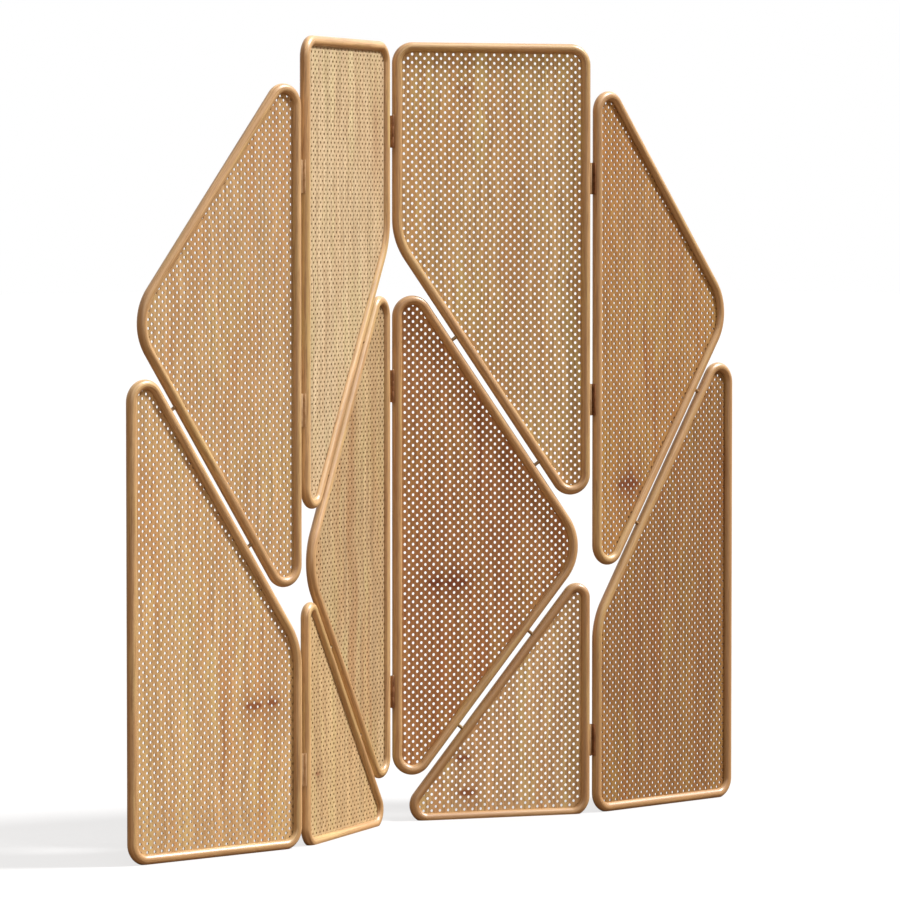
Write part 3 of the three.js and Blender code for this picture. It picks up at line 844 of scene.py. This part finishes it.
def pin_shape():
    h = HINGE_H / 2
    r = 2.6
    low = [(0, -h - 2)] + [(r * math.sin(a), -h - 0.9 - 1.1 * math.cos(a)) for a in np.linspace(0.25, math.pi / 2, 5)] + [(r, -h - 0.3), (PIN_R, -h - 0.3)]
    high = [(x, -z) for x, z in low[::-1]]
    me = lathe(low + high, 32)
    smooth(me, 40)
    return me


PLATES = {True: plate_shape(True), False: plate_shape(False)}
PIN_SHAPE = pin_shape()

for leaf, info in LEAVES.items():
    flip = info["flip"]
    for panel in info["panels"]:
        finish_piece(f"rod_frame_{leaf}_{panel}", frame_mesh(leaf, panel), leaf, rod_material, f"leaf_{leaf}_{panel}_frame")
        finish_piece(f"perforated_sheet_{leaf}_{panel}", sheet_mesh(leaf, panel), leaf, sheet_materials[f"{leaf}_{panel}"], f"leaf_{leaf}_{panel}_sheet")
    for k, (_, at, z0, rise) in enumerate(info["dowels"]):
        finish_piece(f"dowel_{leaf}_{k + 1}", dowel_mesh(at, z0, rise, flip), leaf, dowel_shaded_oak, f"leaf_{leaf}_dowel_{k + 1}")
    for name, end, side, heights, ends in info["hinges"]:
        pin_x = -PIN_OUT * flip if end == 0 else (LEAF_W + PIN_OUT) * flip
        sx = flip if end == 0 else -flip
        for level, z in zip(("bottom", "middle", "top"), heights):
            put = Matrix.Translation((pin_x * MM, side * PIN_OFF * MM, z * MM)) @ Matrix.Diagonal((sx * MM, -side * MM, MM, 1))
            finish_piece(f"hinge_{name}_{level}_leaf_{leaf}", moved(PLATES[ends], put), leaf, plate_materials[name][name.index(leaf)], f"hinge_{name}_{level}_plate_{leaf}")
            if ends:
                finish_piece(f"hinge_{name}_{level}_rod", moved(PIN_SHAPE, put), leaf, pin_material, f"hinge_{name}_{level}_pin")

# ---------------------------------------------------------------- floor and light
floor = link("floor", from_faces("floor", [(-60, -60, 0), (60, -60, 0), (60, 60, 0), (-60, 60, 0)], [(0, 1, 2, 3)]))
t = Tree("pale_floor")
seen = t.node("ShaderNodeLightPath").outputs["Is Camera Ray"]
plain = t.node("ShaderNodeBsdfDiffuse", {"Color": (0.125, 0.075, 0.045, 1)})
soft = t.node("ShaderNodeBsdfDiffuse", {"Color": (0.17, 0.17, 0.172, 1)})
glow = t.node("ShaderNodeEmission", {"Color": (1, 1, 1, 1), "Strength": 0.69})
bright = t.node("ShaderNodeAddShader", {0: soft.outputs[0], 1: glow.outputs[0]})
floor.data.materials.append(t.finish(t.node("ShaderNodeMixShader", {0: seen, 1: plain.outputs[0], 2: bright.outputs[0]})))

# White all over for the camera. As a lamp it is bright behind and above the screen, and dim in front.
world = bpy.data.worlds.new("studio")
SCENE.world = world
world.use_nodes = True
w = Tree.__new__(Tree)
w.tree = world.node_tree
w.tree.nodes.clear()
way = w.node("ShaderNodeTexCoord").outputs["Generated"]
behind = w.range(w.vector("DOT_PRODUCT", way, (0.69, 0.72, 0.0)), 0.0, 0.9, 0.0, 0.85)
above = w.range(w.split(way)[2], 0.25, 1.0, 0.0, 0.75)
lamp = w.node("ShaderNodeBackground", {"Color": (1, 1, 1, 1), "Strength": w.math("ADD", behind, above)})
plain = w.node("ShaderNodeBackground", {"Color": (1, 1, 1, 1), "Strength": 1.0})
seen = w.node("ShaderNodeLightPath").outputs["Is Camera Ray"]
warm = w.node("ShaderNodeBackground", {"Color": (1.0, 0.64, 0.42, 1), "Strength": 0.165})
lit = w.node("ShaderNodeAddShader", {0: lamp.outputs[0], 1: warm.outputs[0]})
both = w.node("ShaderNodeMixShader", {0: seen, 1: lit.outputs[0], 2: plain.outputs[0]})
w.tree.links.new(both.outputs[0], w.node("ShaderNodeOutputWorld").inputs[0])


def sun(name, towards, strength, angle, colour=(1, 1, 1)):
    """A distant lamp shining from the direction towards, which is where it stands."""
    d = bpy.data.lights.new(name, "SUN")
    d.energy, d.angle, d.color = strength, math.radians(angle), colour
    o = bpy.data.objects.new(name, d)
    SCENE.collection.objects.link(o)
    o.rotation_euler = Vector(towards).to_track_quat("Z", "Y").to_euler()
    return o


sun("key", (0.541, -0.393, 0.743), 5.8, 9, (1.0, 0.997, 0.985))
sun("front", (-0.45, -0.83, 0.33), 0.75, 50, (1.0, 0.92, 0.82))

SCENE.view_settings.view_transform = "Standard"
SCENE.view_settings.look = "None"
SCENE.cycles.max_bounces = 6
SCENE.cycles.diffuse_bounces = 3
